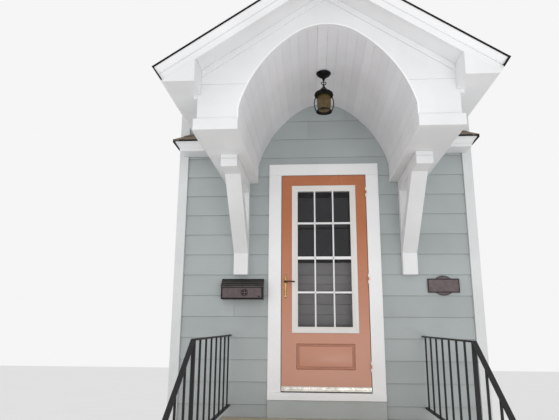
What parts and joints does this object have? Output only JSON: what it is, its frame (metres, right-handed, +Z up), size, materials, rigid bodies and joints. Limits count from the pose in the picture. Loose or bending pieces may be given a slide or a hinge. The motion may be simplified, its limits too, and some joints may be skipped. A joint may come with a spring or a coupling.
{
  "type": "entrance porch",
  "caption": "Barrel-vaulted gable hood on brackets over a panelled storm door, with landing, steps, iron railings, mailbox and hanging lantern on a sided wall bay.",
  "frame": {"origin": "on the ground, at the wall's outer face, under the middle of the doorway", "axes": "+Z up, +X to the right along the wall as seen from outside, +Y into the building; the front faces -Y"},
  "size_m": [2.922, 2.51, 4.42],
  "materials": {
    "foundation": "rough cast masonry",
    "siding": "pale grey-green painted lap siding",
    "trim": "white painted boards",
    "riser": "grey-green painted board",
    "pent_shingles": "weathered brown asphalt shingles",
    "vault": "white painted tongued boards",
    "roof": "dark asphalt shingles with a black metal edge",
    "concrete": "tan weathered concrete",
    "iron": "black painted wrought iron",
    "door_paint": "terracotta semi-gloss paint",
    "sweep": "mill finish",
    "lite_frame": "white enamel",
    "door_glass": "clear",
    "brass": "aged brass",
    "inner_door": "grey painted",
    "hinges": "painted over",
    "mailbox": "brown enamel",
    "plaque": "grey-brown with a dark border",
    "lantern_iron": "black enamel",
    "amber_glass": "seeded amber"
  },
  "bodies": {
    "porch": {"foundation": "foundation", "wall_sides": "siding", "wall_centre": "siding", "corner_boards": "trim", "door_casing": "trim", "door_frame": "trim", "door_sill": "trim", "riser_board": "riser", "pent_roofs": "pent_shingles", "pent_cornices": "trim", "hood_beams": "trim", "gable_panel": "trim", "vault": "vault", "beam_caps": "trim", "frieze": "trim", "rake_soffit": "trim", "rake_boards": "trim", "eave_boxes": "trim", "hood_roof": "roof", "bracket_arms": "trim", "bracket_posts": "trim", "bracket_braces": "trim", "landing_slab": "concrete", "landing_base": "concrete", "step_top": "concrete", "step_middle": "concrete", "step_bottom": "concrete", "landing_railings": "iron", "stair_railings": "iron", "door_hinges": "hinges", "mailbox": "mailbox", "house_plaque": "plaque", "lantern_canopy": "lantern_iron"},
    "storm_door": {"storm_door": "door_paint", "storm_sweep": "sweep", "storm_lite_frame": "lite_frame", "storm_glass": "door_glass", "handle_plate": "brass"},
    "lever": {"door_lever": "brass"},
    "inner_door": {"inner_door": "inner_door", "inner_door_knob": "brass"},
    "mailbox_lid": {"mailbox_lid": "mailbox"},
    "lantern_link": {"lantern_link": "lantern_iron"},
    "lantern": {"lantern_frame": "lantern_iron", "lantern_glass": "amber_glass"}
  },
  "joints": [
    {"name": "storm_door_hinge", "type": "hinge", "parent": "porch", "child": "storm_door", "pos_m": [0.412, -0.035, 1.92], "axis": [0, 0, 1], "range_deg": [0, 100]},
    {"name": "lever_turn", "type": "hinge", "parent": "storm_door", "child": "lever", "pos_m": [-0.3715, 0, 1.917], "axis": [0, 1, 0], "range_deg": [0, 35], "stiffness_Nm_per_rad": 1.5, "springref_deg": -17.19},
    {"name": "inner_door_hinge", "type": "hinge", "parent": "porch", "child": "inner_door", "pos_m": [0.412, 0.167, 1.92], "axis": [0, 0, -1], "range_deg": [0, 95]},
    {"name": "mailbox_lid_hinge", "type": "hinge", "parent": "porch", "child": "mailbox_lid", "pos_m": [-0.777, -0.026, 1.93363], "axis": [-1, 0, 0], "range_deg": [0, 65]},
    {"name": "link_swing", "type": "hinge", "parent": "porch", "child": "lantern_link", "pos_m": [0, -0.68, 3.63984], "axis": [1, 0, 0], "range_deg": [-25, 25]},
    {"name": "lantern_swing", "type": "hinge", "parent": "lantern_link", "child": "lantern", "pos_m": [0, -0.68, 3.62234], "axis": [0, 1, 0], "range_deg": [-20, 20]}
  ]
}
